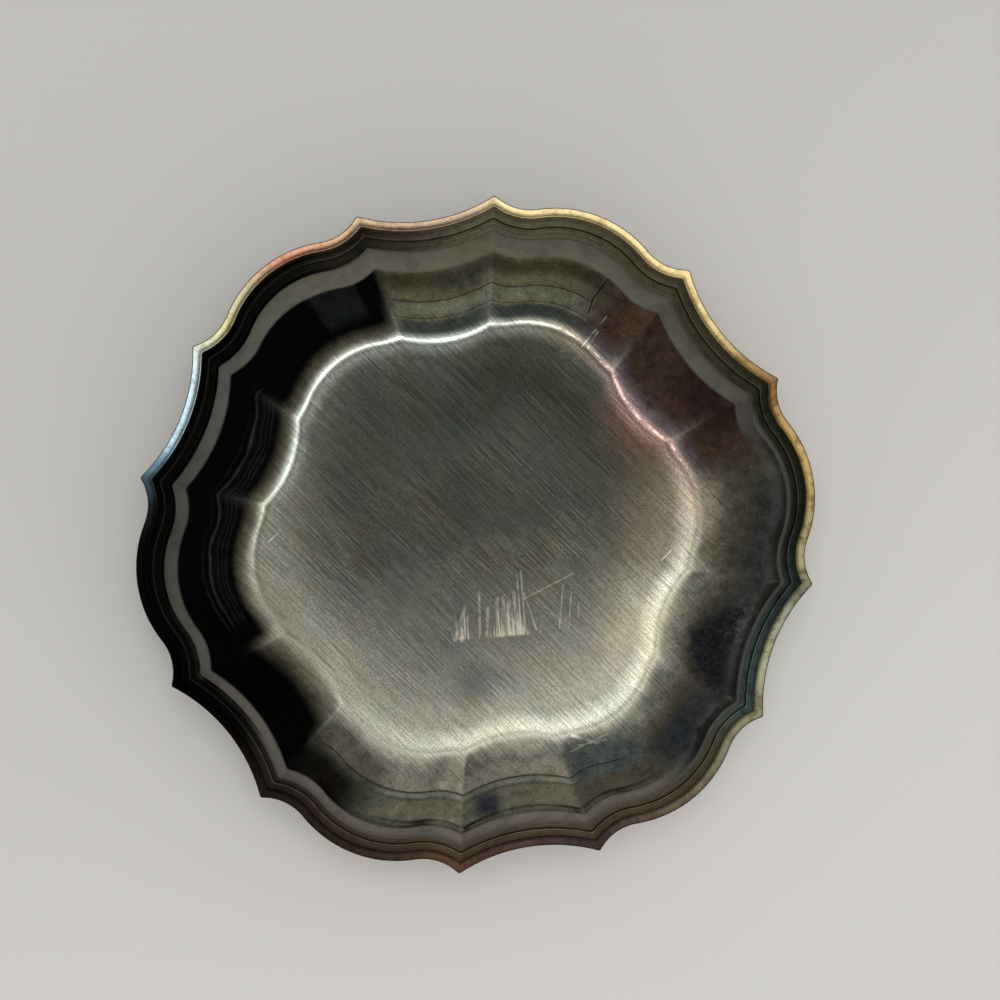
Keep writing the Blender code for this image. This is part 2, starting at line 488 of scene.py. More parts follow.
def picture_place(nodes):
    """Places on the piece in metres, with X to the right and Y up in the picture."""
    here = nodes.add("TexCoord").outputs["Object"]
    return nodes.mapped(here, rotation=(0.0, 0.0, PICTURE_TURN))


def blot(nodes, place, centre, size, softness):
    """1 at a place in the picture, falling to 0 at size metres from it."""
    flat = nodes.vectors("MULTIPLY", place, (1, 1, 0))
    apart = nodes.vectors("DISTANCE", flat, (*centre, 0.0), output="Value")
    return nodes.between(apart, size, size * softness)


def brushed(nodes, place, along, across, detail=3.0):
    """Long thin streaks down the grain: along and across are their usual length and pitch in metres."""
    turned = nodes.mapped(place, rotation=(0.0, 0.0, GRAIN_TURN))
    stretched = nodes.mapped(turned, scale=(1.0 / along, 1.0 / across, 1.0 / along))
    return nodes.noise(stretched, 1.0, detail=detail, roughness=0.6)


def turn_of(nodes, place):
    """Turns of a circle round the dish, from the right of the picture and counted upwards, from 0 to 1."""
    x, y, _ = nodes.split(place)
    turn = nodes.math("DIVIDE", nodes.math("ARCTAN2", y, x), tau)
    return nodes.math("FRACT", nodes.plus(turn, 1.0))


def sector(nodes, turn, first, last, soft):
    """1 between two directions in degrees from the right of the picture, with soft ends in degrees."""
    middle = (first + last) / 2 / CIRCLE
    half = (last - first) / 2 / CIRCLE
    edge = soft / 2 / CIRCLE
    shifted = nodes.math("FRACT", nodes.plus(turn, 1.5 - middle))
    apart = nodes.math("ABSOLUTE", nodes.minus(shifted, 0.5))
    return nodes.between(apart, half + edge, half - edge)


def band(nodes, value, low, high, soft):
    """1 between low and high, with soft ends."""
    rising = nodes.between(value, low - soft, low + soft)
    falling = nodes.between(value, high + soft, high - soft)
    return nodes.times(rising, falling)


def off_crease(nodes):
    """Metres sideways from the nearest of the twelve creases, which run straight out from the middle."""
    here = nodes.add("TexCoord").outputs["Object"]
    x, y, _ = nodes.split(here)
    radius = nodes.math("SQRT", nodes.plus(nodes.times(x, x), nodes.times(y, y)))
    repeat = nodes.times(turn_of(nodes, here), REPEATS)
    share = nodes.math("FRACT", nodes.plus(repeat, 0.5))
    from_wide = nodes.math("ABSOLUTE", nodes.minus(share, 0.5))
    apart = nodes.math("ABSOLUTE", nodes.minus(from_wide, POINT_ANGLE * REPEATS / tau))
    return nodes.times(nodes.times(apart, tau / REPEATS), radius)


def stroke(nodes, place, start, end, width):
    """1 along a straight scratch in the picture, falling to 0 at width metres from it."""
    start, end = Vector((*start, 0.0)), Vector((*end, 0.0))
    flat = nodes.vectors("MULTIPLY", place, (1, 1, 0))
    from_start = nodes.vectors("SUBTRACT", flat, tuple(start))
    unit = (end - start) / (end - start).length_squared
    along = nodes.vectors("DOT_PRODUCT", from_start, tuple(unit), output="Value")
    along = nodes.math("MULTIPLY", along, 1.0, clamp=True)
    near = nodes.vectors("SCALE", tuple(end - start), scale=along)
    apart = nodes.vectors("DISTANCE", from_start, near, output="Value")
    return nodes.between(apart, width, width * STROKE_CORE)


def colours_round(nodes, turn, stops):
    """Colours that change round the dish, from stops by degrees."""
    return nodes.ramp(turn, [(angle / CIRCLE, tint) for angle, tint in stops])


class Paint:
    """A colour laid on tint by tint, tarnished colour and painted light and shade alike.

    Directions are (first, last, softness), in degrees from the right of the picture and counted upwards.
    Heights are (none, full), or (low, high, softness) for a strip. On the bowl they are shares of the way up
    the wall: 0 at the floor's edge, 1 at the border, more on the collar and less than 0 on the floor. On the
    border they are shares of its depth.
    """

    def __init__(self, nodes, place, way, turn, shade):
        self.nodes = nodes
        self.place = place
        self.way = way
        self.turn = turn
        self.shade = shade
        self.sectors = {}

    def facing(self, directions):
        if directions not in self.sectors:
            self.sectors[directions] = sector(self.nodes, self.turn, *directions)
        return self.sectors[directions]

    def at(self, directions, heights):
        """1 in these directions at these heights."""
        facing = self.facing(directions)
        if len(heights) == 3:
            return self.nodes.times(facing, band(self.nodes, self.way, *heights))
        return self.nodes.times(facing, self.nodes.between(self.way, *heights))

    def wash(self, mask, tint, strength=1.0):
        """A tint over the colour where the mask says."""
        share = self.nodes.times(mask, strength)
        self.shade = self.nodes.mix(share, self.shade, tint)

    def tone(self, mask, gain):
        """The colour times a gain where the mask says."""
        self.shade = self.nodes.mix(mask, self.shade, gain, blend="MULTIPLY")

    def lay_tints(self, rows):
        for directions, heights, tint, strength in rows:
            self.wash(self.at(directions, heights), tint, strength)

    def spots(self, rows, place):
        """Round patches: centre and size in metres, share of the size that is full, colour, strength."""
        for centre, size, softness, tint, strength in rows:
            self.wash(blot(self.nodes, place, centre, size, softness), tint, strength)


# Scratches in the floor, in the picture's axes: starts, ends and widths in metres
SCRATCHES = (
    ((-0.0057, -0.0264), (-0.0032, -0.0177), 0.0006), ((-0.004, -0.0262), (-0.0028, -0.0207), 0.0009),
    ((0.0006, -0.0254), (0.0004, -0.0142), 0.0005), ((0.0024, -0.0254), (0.0026, -0.0182), 0.0006),
    ((0.0052, -0.0248), (0.005, -0.0157), 0.0007), ((0.0068, -0.0246), (0.0066, -0.015), 0.0007),
    ((0.0083, -0.0244), (0.008, -0.0162), 0.0006), ((0.0098, -0.0242), (0.0094, -0.0142), 0.0005),
    ((0.0112, -0.024), (0.01, -0.0097), 0.00035), ((0.0122, -0.024), (0.011, -0.0087), 0.00032),
    ((0.015, -0.0237), (0.0118, -0.0142), 0.00035), ((0.0118, -0.0158), (0.0243, -0.0094), 0.00026),
    ((0.0208, -0.0234), (0.0218, -0.0122), 0.00022), ((0.0232, -0.023), (0.024, -0.0132), 0.0002),
    ((0.0255, -0.0227), (0.0258, -0.0167), 0.00018),
)
SMALL_SCRATCHES = (
    ((0.024, -0.0505), (0.03, -0.0525), 0.0006), ((0.0235, -0.0545), (0.033, -0.05), 0.0003),
    ((0.0255, -0.053), (0.0325, -0.0515), 0.0003), ((0.039, -0.0375), (0.041, -0.039), 0.0003),
    ((0.027, 0.049), (0.033, 0.056), 0.0003), ((0.0285, 0.0485), (0.031, 0.0525), 0.00025),
    ((0.047, -0.006), (0.0495, -0.0035), 0.00018), ((-0.053, -0.001), (-0.05, 0.002), 0.00018),
)
# Dark ends of the painted reflection lines along the die's lines
REFLECTION_LINE_ENDS = (
    ((0.0286, 0.0572), (0.0296, 0.0605), 0.0003),
    ((0.0296, 0.0605), (0.0314, 0.0627), 0.0003),
    ((0.0314, 0.0627), (0.0336, 0.0652), 0.0003),
)
# Light rubbed flecks in the floor: places and sizes
FLECKS = (
    ((0.0235, 0.0465), 0.005), ((-0.0375, 0.0335), 0.006), ((-0.0205, 0.0465), 0.0045),
    ((0.052, 0.004), 0.0045), ((0.006, -0.043), 0.006),
)

# Colours of the floor's rubbed edge with its painted highlight, from the right of the picture round through
# its top, by degrees
FOOT_WEAR_AND_HIGHLIGHT = (
    (0, (0.36, 0.33, 0.25)), (12, (0.44, 0.35, 0.27)), (24, (0.44, 0.3, 0.26)),
    (45, (0.48, 0.33, 0.31)), (62, (0.44, 0.36, 0.28)), (75, (0.44, 0.45, 0.38)),
    (100, (0.5, 0.56, 0.53)), (118, (0.46, 0.49, 0.44)), (135, (0.56, 0.59, 0.52)),
    (150, (0.44, 0.48, 0.43)), (160, (0.48, 0.52, 0.46)), (176, (0.2, 0.2, 0.16)),
    (186, (0.12, 0.12, 0.1)), (200, (0.12, 0.11, 0.086)), (218, (0.17, 0.165, 0.13)),
    (240, (0.28, 0.28, 0.22)), (268, (0.46, 0.46, 0.35)), (285, (0.52, 0.51, 0.4)),
    (310, (0.42, 0.43, 0.37)), (328, (0.46, 0.43, 0.31)), (345, (0.5, 0.5, 0.4)),
    (360, (0.36, 0.33, 0.25)),
)

# Range of the large clouds in which the tarnish goes from its dark to its light colour
CLOUD = (0.3, 0.7)

# Tarnish of the floor, with painted shade above the middle and painted sheen below it, laid on in this order
FLOOR_DARK = (0.064, 0.07, 0.057)
FLOOR_LIGHT = (0.096, 0.097, 0.079)
MIDDLE_WAY = (-0.35, -0.7)
MIDDLE_GAIN = (1.45, 1.43, 1.42)
# Painted sheen over the lower half of the picture
LOW_HALF = (0.01, -0.035)
LOW_SHEEN_TINT = (0.16, 0.156, 0.136)
FLOOR_SHADE_AND_SHEEN = (
    ((5, 95, 30), (-0.55, -0.2), (0.038, 0.038, 0.027), 0.85),
    ((165, 350, 30), (-0.55, -0.05), (0.16, 0.156, 0.126), 0.8),
)
FLOOR_SPOTS = (
    ((0.046, 0.004), 0.022, 0.1, (0.112, 0.092, 0.066), 0.7),
    ((0.043, 0.03), 0.018, 0.1, (0.095, 0.05, 0.036), 0.8),
    ((0.018, -0.04), 0.03, 0.1, (0.16, 0.155, 0.13), 0.6),
    ((0.042, -0.022), 0.018, 0.1, (0.2, 0.18, 0.125), 0.7),
    ((-0.001, -0.037), 0.009, 0.1, (0.045, 0.05, 0.053), 0.6),
)
WARM_GAIN = (1.0, 0.95, 0.86)
COOL_GAIN = (0.91, 0.97, 1.0)
FLECK_TINT = (0.28, 0.25, 0.21)


def floor_shade(nodes, place, way, turn, cloud):
    """Tarnish of the floor: olive grey and brown to the right, with painted shade above the middle and
    painted sheen below it.
    """
    y = nodes.split(place)[1]
    base = nodes.mix(nodes.between(cloud, *CLOUD), FLOOR_DARK, FLOOR_LIGHT)
    paint = Paint(nodes, place, way, turn, base)
    paint.tone(nodes.between(way, *MIDDLE_WAY), MIDDLE_GAIN)
    # Painted sheen low in the picture, then painted shade at the upper right and more painted sheen below
    paint.wash(nodes.between(y, *LOW_HALF), LOW_SHEEN_TINT, 0.6)
    paint.lay_tints(FLOOR_SHADE_AND_SHEEN)
    paint.spots(FLOOR_SPOTS, place)
    mottle = nodes.noise(place, 80.0, detail=5.0, roughness=0.65)
    paint.tone(nodes.between(mottle, 0.5, 0.62), WARM_GAIN)
    paint.tone(nodes.between(mottle, 0.46, 0.36), COOL_GAIN)
    rubbed = nodes.patches(place, 700.0, 0.46, 0.62, detail=3.0)
    for centre, size in FLECKS:
        fleck = nodes.times(blot(nodes, place, centre, size, 0.0), rubbed)
        paint.wash(fleck, FLECK_TINT, 0.18)
    return paint.shade


# The floor's rubbed edge with its painted highlight: where it is narrow, where wide, and the faint halo of
# the narrow part
NARROW_EDGE = (0.0, 0.042, 0.024)
WIDE_EDGE = ((-0.13, -0.03), (0.09, -0.04))
EDGE_HALO = ((-0.09, 0.01), (0.13, 0.03))
FLECKED_EDGE = (8, 68, 8)
HALO_STRENGTH = 0.35
WIDE_STRENGTH = 0.6


def edge_wear_and_highlight(paint, lower):
    """Painted highlight over the rubbed edge of the floor: narrow above the middle of the picture, and wide
    and soft below it.
    """
    nodes, place, way = paint.nodes, paint.place, paint.way
    foot = colours_round(nodes, paint.turn, FOOT_WEAR_AND_HIGHLIGHT)
    narrow = band(nodes, way, *NARROW_EDGE)
    flecked = nodes.patches(place, 420.0, 0.4, 0.58, detail=4.0, roughness=0.7)
    uneven = nodes.level(nodes.patches(place, 75.0, 0.38, 0.6), 0.45, 1.0)
    narrow = nodes.times(narrow, nodes.level(paint.facing(FLECKED_EDGE), uneven, flecked))
    wide, halo = [
        nodes.times(nodes.between(way, *rising), nodes.between(way, *falling))
        for rising, falling in (WIDE_EDGE, EDGE_HALO)
    ]
    narrow = nodes.math("MAXIMUM", narrow, nodes.times(halo, HALO_STRENGTH))
    wear_and_sheen = nodes.level(lower, narrow, nodes.times(wide, WIDE_STRENGTH))
    # Painted highlight and rubbed brightness laid over the floor's edge
    paint.shade = nodes.mix(wear_and_sheen, paint.shade, foot)


# Brushed threads: length and pitch in metres, and how strong their light and dark ones are
THREADS = ((0.022, 0.00028, 0.05, 0.26), (0.009, 0.00021, 0.13, 0.47))
THREAD_LIGHT = (2.2, 2.2, 2.1)
THREAD_DARK = (0.4, 0.41, 0.4)
DUST_GAIN = (0.55, 0.56, 0.55)


def grained(paint, lower):
    """Brushed grain over the floor and the foot of the wall: short crisp threads, and fine specks."""
    nodes, place, way = paint.nodes, paint.place, paint.way
    uneven = nodes.plus(nodes.times(nodes.patches(place, 60.0, 0.35, 0.65), 0.35), 0.65)
    fade = nodes.level(lower, nodes.between(way, 0.5, 0.05), nodes.between(way, 0.55, 0.1))
    fade = nodes.times(fade, uneven)
    for along, across, light, dark in THREADS:
        threads = brushed(nodes, place, along, across, detail=0.0)
        bright = nodes.between(threads, 0.53, 0.62)
        paint.tone(nodes.times(bright, nodes.times(fade, light)), THREAD_LIGHT)
        dim = nodes.between(threads, 0.48, 0.38)
        paint.tone(nodes.times(dim, nodes.times(fade, dark)), THREAD_DARK)
    dust = nodes.patches(place, 2600.0, 0.42, 0.62, detail=0.0)
    paint.tone(nodes.times(dust, 0.55), DUST_GAIN)


# Tarnish of the wall with painted reflections and painted shade: directions, heights, colours and strengths,
# laid on in this order
WALL_DARK = (0.108, 0.102, 0.066)
WALL_LIGHT = (0.165, 0.15, 0.1)
TOP = (61, 112, 6)
# Bands of painted reflection across the top of the picture
TOP_REFLECTION_BANDS = (
    (TOP, (0.07, 0.24, 0.04), (0.036, 0.048, 0.044), 0.85),
    (TOP, (0.28, 0.44, 0.05), (0.18, 0.182, 0.132), 0.8),
    (TOP, (0.47, 0.55, 0.04), (0.148, 0.134, 0.08), 0.75),
    (TOP, (0.6, 0.76, 0.06), (0.045, 0.038, 0.021), 0.85),
    ((88, 99, 5), (0.48, 0.74, 0.08), (0.042, 0.043, 0.038), 0.6),
)
BROWN = (15, 62, 10)
BROWN_TINT = (0.092, 0.054, 0.036)
BROWN_SPOTS = (((0.059, 0.037), 0.016, 0.1, (0.038, 0.019, 0.022), 0.9),)
# Painted purple-grey sheen near the floor at the upper right
BROWN_SHEEN = ((BROWN, (0.34, 0.1), (0.15, 0.132, 0.15), 0.75),)
RIGHT = (-48, 12, 14)
RIGHT_TINT = (0.195, 0.165, 0.115)
# Teal tarnished colour up the right of the wall, and painted sheen lighter towards the floor
RIGHT_TARNISH_AND_SHEEN = (
    (RIGHT, (0.35, 0.75), (0.085, 0.098, 0.094), 0.9),
    ((-60, -8, 8), (0.52, 0.12), (0.55, 0.55, 0.44), 0.85),
    ((-10, 14, 8), (0.48, 0.06), (0.46, 0.4, 0.3), 0.85),
)
BESIDE_RIM = (-52, 25, 8)
# Painted reflection as a grey haze below the border at the right, with a painted highlight line at its foot
RIM_REFLECTION_AND_HIGHLIGHT = (
    (BESIDE_RIM, (0.76, 0.98), (0.22, 0.22, 0.205), 0.7),
    (BESIDE_RIM, (0.945, 0.975), (0.8, 0.79, 0.74), 0.8),
)
LOW_RIGHT = (-69, -52, 6)
BOTTOM = (-127, -69, 5)
# Bands of painted reflection across the bottom, with teal and brown tarnished colour at the lower right
BOTTOM_REFLECTION_BANDS = (
    (LOW_RIGHT, (0.05, 0.2), (0.17, 0.2, 0.19), 0.8),
    (LOW_RIGHT, (0.42, 0.52, 0.05), (0.13, 0.2, 0.21), 0.6),
    (LOW_RIGHT, (0.56, 0.66), (0.2, 0.165, 0.105), 0.85),
    (BOTTOM, (-0.2, 0.46, 0.04), (0.4, 0.385, 0.31), 0.9),
    (BOTTOM, (0.3, 0.46, 0.04), (0.54, 0.5, 0.38), 0.7),
    (BOTTOM, (0.485, 0.54, 0.02), (0.5, 0.5, 0.39), 0.7),
    (BOTTOM, (0.56, 0.84, 0.04), (0.31, 0.305, 0.215), 0.88),
)
BOTTOM_SPOTS = (
    ((-0.001, -0.0565), 0.007, 0.1, (0.42, 0.36, 0.29), 0.6),
    ((0.002, -0.0675), 0.0056, 0.15, (0.06, 0.068, 0.095), 0.95),
)
# Painted shade at the lower left of the wall near the floor
LOW_LEFT_PAINTED_SHADE = (((228, 250, 9), (0.05, 0.2), (0.088, 0.084, 0.064), 0.85),)
# Painted shade that makes the left of the wall near black
LEFT_PAINTED_SHADE = (
    ((110.5, 205, 3), (0.04, 0.28), (0.0018, 0.0021, 0.002), 1.0),
    ((226, 245, 8), (0.42, 0.66), (0.009, 0.007, 0.006), 0.97),
    ((198, 231, 3), (0.14, 0.44), (0.0018, 0.0018, 0.0016), 1.0),
    ((116, 125.5, 1.5), (0.36, 0.8, 0.1), (0.012, 0.015, 0.013), 0.8),
)
# Directions and heights of faint painted reflections on the black left wall
LEFT_REFLECTION_STRIP = ((146, 200, 3), (0.3, 0.56, 0.05))
# Dark ragged patch at the lower right, with a blue and a crumbled one beside it: centres, sizes and softness
DARK_PATCH = ((0.064, -0.029), 0.014, 0.55)
BLUE_PATCH = ((0.051, -0.05), 0.012, 0.2)
CRUMB_PATCH = ((0.0705, -0.0245), 0.012, 0.1)


def right_wall(wall, specks):
    nodes, place, way = wall.nodes, wall.place, wall.way
    ragged = nodes.wandering(place, 260.0, 0.006)
    crumbs = nodes.noise(place, 700.0, detail=6.0, roughness=0.8)
    wall.wash(wall.facing(RIGHT), RIGHT_TINT, 0.9)
    # Painted sheen lighter towards the floor at the right
    wall.lay_tints(RIGHT_TARNISH_AND_SHEEN)
    rusty = nodes.times(wall.facing(RIGHT), nodes.between(specks, 0.5, 0.68))
    wall.wash(rusty, (0.24, 0.18, 0.17), 0.3)
    dark = nodes.times(blot(nodes, ragged, *DARK_PATCH), nodes.between(way, 0.12, 0.34))
    speckled = nodes.between(specks, 0.42, 0.6)
    core = nodes.mix(speckled, (0.03, 0.034, 0.04), (0.058, 0.058, 0.062))
    wall.shade = nodes.mix(dark, wall.shade, core)
    blue = nodes.times(blot(nodes, ragged, *BLUE_PATCH), nodes.between(way, 0.4, 0.6))
    wall.wash(blue, (0.058, 0.07, 0.086), 0.75)
    # Painted grey haze and painted highlight line below the border at the right
    wall.lay_tints(RIM_REFLECTION_AND_HIGHLIGHT)
    crumbled = nodes.times(blot(nodes, ragged, *CRUMB_PATCH), nodes.between(crumbs, 0.47, 0.62))
    wall.wash(crumbled, (0.33, 0.31, 0.29), 0.85)


def left_wall(wall):
    """Painted shade that makes it black, with faint uneven painted reflections along a strip."""
    nodes = wall.nodes
    # Painted shade near black over the left of the wall
    wall.lay_tints(LEFT_PAINTED_SHADE)
    wander = nodes.times(nodes.noise(wall.place, 60.0, detail=3.0), 5.0)
    height = nodes.plus(nodes.times(wall.way, 22.0), wander)
    inputs = {"W": height, "Scale": 1.0, "Detail": 4.0, "Roughness": 0.65}
    lines = nodes.add("TexNoise", inputs, noise_dimensions="1D").outputs["Fac"]
    reflection_strip = wall.at(*LEFT_REFLECTION_STRIP)
    wall.wash(nodes.times(reflection_strip, nodes.between(lines, 0.4, 0.68)), (0.03, 0.035, 0.032), 0.5)
    wall.wash(nodes.times(reflection_strip, nodes.between(lines, 0.58, 0.66)), (0.06, 0.06, 0.056), 0.15)


# Painted highlights along the creases: half width and the width of its full part in metres, heights, colour,
# strength
CREASE_HIGHLIGHTS = (
    ((0.003, 0.0), (0.6, 0.05), (0.26, 0.26, 0.22), 0.28),
    ((0.0008, 0.0001), (0.55, 0.0), (0.3, 0.3, 0.26), 0.35),
)


def crease_highlight(wall):
    nodes = wall.nodes
    creases = off_crease(nodes)
    black = nodes.times(wall.facing((114, 214, 4)), 0.75)
    lit = nodes.rest(black)
    # Painted highlights along the creases, weaker on the black left side
    for reach, heights, tint, strength in CREASE_HIGHLIGHTS:
        glow = nodes.times(nodes.between(creases, *reach), nodes.between(wall.way, *heights))
        wall.wash(nodes.times(glow, lit), tint, strength)


# Dark lines of painted reflection along the die's lines: share of the way up the wall, first and last
# direction in degrees, strength
DIE_LINE_REFLECTIONS = (
    (0.27, 65, 110.5, 0.55),
    (0.455, 64, 110.5, 0.9),
    (0.47, 233, 303, 0.9),
    (0.8, 250, 306, 0.75),
)
REFLECTION_LINE_TINT = (0.016, 0.016, 0.012)
REFLECTION_LINE_END_TINT = (0.014, 0.012, 0.01)


def wall_shade(nodes, place, way, turn, cloud):
    """Colour of the wall: painted shade black to the left, olive with bands of painted reflection at the top
    and bottom, brown and teal to the right.
    """
    specks = nodes.noise(place, 1100.0, detail=3.0)
    base = nodes.mix(nodes.between(cloud, *CLOUD), WALL_DARK, WALL_LIGHT)
    wall = Paint(nodes, place, way, turn, base)
    # Bands of painted reflection at the top of the picture
    wall.lay_tints(TOP_REFLECTION_BANDS)
    wall.wash(wall.facing(BROWN), BROWN_TINT, 0.92)
    wall.spots(BROWN_SPOTS, place)
    # Painted purple-grey sheen near the floor at the upper right
    wall.lay_tints(BROWN_SHEEN)
    right_wall(wall, specks)
    ragged = nodes.wandering(place, 260.0, 0.003)
    # Bands of painted reflection at the bottom of the picture
    wall.lay_tints(BOTTOM_REFLECTION_BANDS)
    wall.spots(BOTTOM_SPOTS, ragged)
    # Painted shade at the lower left near the floor
    wall.lay_tints(LOW_LEFT_PAINTED_SHADE)
    left_wall(wall)
    crease_highlight(wall)
    # Painted reflection: dark lines along the die's lines, and their ends
    for share, first, last, strength in DIE_LINE_REFLECTIONS:
        line = wall.at((first, last, 3.0), (share - 0.006, share + 0.006, 0.007))
        wall.wash(line, REFLECTION_LINE_TINT, strength)
    for start, end, width in REFLECTION_LINE_ENDS:
        wall.wash(stroke(nodes, place, start, end, width), REFLECTION_LINE_END_TINT, 0.9)
    dirt = nodes.noise(place, 330.0, detail=6.0, roughness=0.72)
    wall.tone(nodes.between(dirt, 0.48, 0.64), (0.66, 0.66, 0.66))
    wall.tone(nodes.between(dirt, 0.46, 0.34), (1.35, 1.33, 1.3))
    return wall.shade


# The rubbed patch: its foot line's slope and height, its height and its sides in metres
SMEAR_SLOPE = 0.072
SMEAR_FOOT = -0.0258
SMEAR_HEIGHT = 0.012
SMEAR_SIDES = (-0.006, 0.015, 0.003)
SMEAR_DENSE = ((-0.005, -0.0028, 0.001), (0.0048, 0.012, 0.0015))
SMEAR_LEAN = radians(-3.0)
SMEAR_TINT = (0.46, 0.42, 0.33)
SCRATCH_TINT = (0.44, 0.41, 0.33)
SMALL_SCRATCH_TINT = (0.5, 0.5, 0.45)


def smear(nodes, place):
    """Rubbed upright strokes that stand on a straight, slightly slanting line and end raggedly above it."""
    x, y, _ = nodes.split(place)
    foot = nodes.plus(nodes.times(x, SMEAR_SLOPE), SMEAR_FOOT)
    up = nodes.math("DIVIDE", nodes.minus(y, foot), SMEAR_HEIGHT)
    leaning = nodes.mapped(place, rotation=(0.0, 0.0, SMEAR_LEAN))
    upright = nodes.mapped(leaning, scale=(1300, 60, 1))
    streaks = nodes.noise(upright, 1.0, detail=4.0, roughness=0.6)
    dense = nodes.plus(*[band(nodes, x, *sides) for sides in SMEAR_DENSE])
    level = nodes.plus(nodes.times(up, 0.3), 0.53)
    level = nodes.minus(level, nodes.times(dense, 0.14))
    inside = nodes.times(nodes.between(up, -0.03, 0.03), band(nodes, x, *SMEAR_SIDES))
    over = nodes.between(nodes.minus(streaks, level), -0.06, 0.16)
    return nodes.times(over, inside)


def scratched(paint):
    """Plain light scratches: a patch of short strokes low on the floor, and a few small ones.

    The underside has none.
    """
    nodes, place = paint.nodes, paint.place
    z = nodes.split(place)[2]
    upper = nodes.between(z, 0.4 * SHEET_THICKNESS, 0.7 * SHEET_THICKNESS)
    faded = nodes.times(nodes.patches(place, 500.0, 0.25, 0.6, detail=3.0), upper)
    paint.wash(nodes.times(smear(nodes, place), upper), SMEAR_TINT, 0.75)
    for rows, tint, strength in ((SCRATCHES, SCRATCH_TINT, 0.4), (SMALL_SCRATCHES, SMALL_SCRATCH_TINT, 0.6)):
        for start, end, width in rows:
            paint.wash(nodes.times(stroke(nodes, place, start, end, width), faded), tint, strength)


# Colours of the pale band of painted reflection below the border, the same way round, and how far down the
# wall it reaches
BAND_REFLECTION = (
    (0, (0.115, 0.113, 0.105)), (30, (0.125, 0.117, 0.088)), (60, (0.145, 0.137, 0.095)),
    (90, (0.138, 0.132, 0.09)), (120, (0.142, 0.135, 0.095)), (150, (0.105, 0.107, 0.088)),
    (180, (0.068, 0.067, 0.053)), (205, (0.1, 0.094, 0.073)), (235, (0.15, 0.132, 0.112)),
    (270, (0.225, 0.2, 0.165)), (300, (0.215, 0.195, 0.16)), (330, (0.2, 0.207, 0.195)),
    (360, (0.115, 0.113, 0.105)),
)
BAND_REACH = (
    (0, 0.8), (40, 0.8), (60, 0.775), (100, 0.775), (124, 0.765), (145, 0.84), (185, 0.84),
    (210, 0.865), (240, 0.895), (265, 0.87), (320, 0.87), (360, 0.8),
)

# Where the band of painted reflection fades out at the right of the picture, and how much of it goes
BAND_MISSING = (-50, 22, 12)
BAND_MISSING_SHARE = 0.88
BAND_GAIN = (0.72, 0.72, 0.7)
BAND_ROUGH = 0.6
SEAM = ((30, 125, 10), (0.955, 0.97))
SEAM_TINT = (0.055, 0.055, 0.038)

# The side of the picture where the floor's edge has a wide, soft painted highlight and is rougher
LOWER_SIDE = (186, 375, 20)
FLOOR_ROUGH = 0.16
FOOT_ROUGH = (0.19, 0.27)
WALL_ROUGH = 0.14
GRAIN_ROUGH = 0.1


def reflection_band(nodes, way, turn):
    """Where the pale band of painted reflection under the border lies; it is hardly there at the right of the
    picture.
    """
    reach = colours_round(nodes, turn, BAND_REACH)
    inside = nodes.between(nodes.minus(way, reach), -0.018, 0.018)
    missing = nodes.times(sector(nodes, turn, *BAND_MISSING), BAND_MISSING_SHARE)
    return nodes.times(inside, nodes.rest(missing))


def bowl_shade(nodes, place, way, turn, lower):
    """The bowl's colour with its painted light and shade, and where its band of painted reflection lies."""
    cloud = nodes.noise(place, 35.0, detail=6.0, roughness=0.6)
    wall = nodes.level(lower, nodes.between(way, 0.03, 0.14), nodes.between(way, 0.0, 0.26))
    floor = floor_shade(nodes, place, way, turn, cloud)
    shade = nodes.mix(wall, floor, wall_shade(nodes, place, way, turn, cloud))
    paint = Paint(nodes, place, way, turn, shade)
    edge_wear_and_highlight(paint, lower)
    grained(paint, lower)
    scratched(paint)
    seam = paint.at(*SEAM)
    pale = reflection_band(nodes, way, turn)
    # Painted reflection: the pale band under the border, smudged
    smudged = nodes.patches(place, 200.0, 0.46, 0.66, detail=6.0, roughness=0.7)
    band_colours = colours_round(nodes, turn, BAND_REFLECTION)
    dull = nodes.mix(smudged, band_colours, BAND_GAIN, blend="MULTIPLY")
    paint.shade = nodes.mix(pale, paint.shade, dull)
    paint.wash(seam, SEAM_TINT, 0.85)
    return paint.shade, pale


def bowl_rough(nodes, way, lower, fine, pale):
    foot = nodes.level(lower, *FOOT_ROUGH)
    rough = nodes.level(nodes.between(way, -0.25, -0.02), FLOOR_ROUGH, foot)
    rough = nodes.level(nodes.between(way, 0.12, 0.45), rough, WALL_ROUGH)
    rough = nodes.plus(rough, nodes.times(nodes.minus(fine, 0.5), GRAIN_ROUGH))
    return nodes.level(pale, rough, BAND_ROUGH)


def bowl_material():
    material, nodes = new_material("brushed_silver_tarnish_and_painted_light")
    place = picture_place(nodes)
    turn = turn_of(nodes, place)
    way = nodes.add("Attribute", attribute_name="way").outputs["Fac"]
    fine = brushed(nodes, place, 0.02, 0.0005)
    lower = sector(nodes, turn, *LOWER_SIDE)
    shade, pale = bowl_shade(nodes, place, way, turn, lower)
    rough = bowl_rough(nodes, way, lower, fine, pale)
    metallic = nodes.rest(nodes.times(pale, 0.75))
    fade = nodes.rest(nodes.times(nodes.between(way, 0.0, 0.35), 0.8))
    bump = nodes.add("Bump", {"Distance": 0.00002, "Height": fine})
    nodes.set(bump.inputs["Strength"], nodes.times(fade, 0.3))
    tangent = nodes.add("Tangent", direction_type="UV_MAP", uv_map="grain")
    inputs = {
        "Base Color": shade,
        "Metallic": metallic,
        "Roughness": rough,
        "Anisotropic": 0.6,
        "Normal": bump.outputs["Normal"],
        "Tangent": tangent.outputs["Tangent"],
    }
    finish_surface(nodes, inputs)
    return material


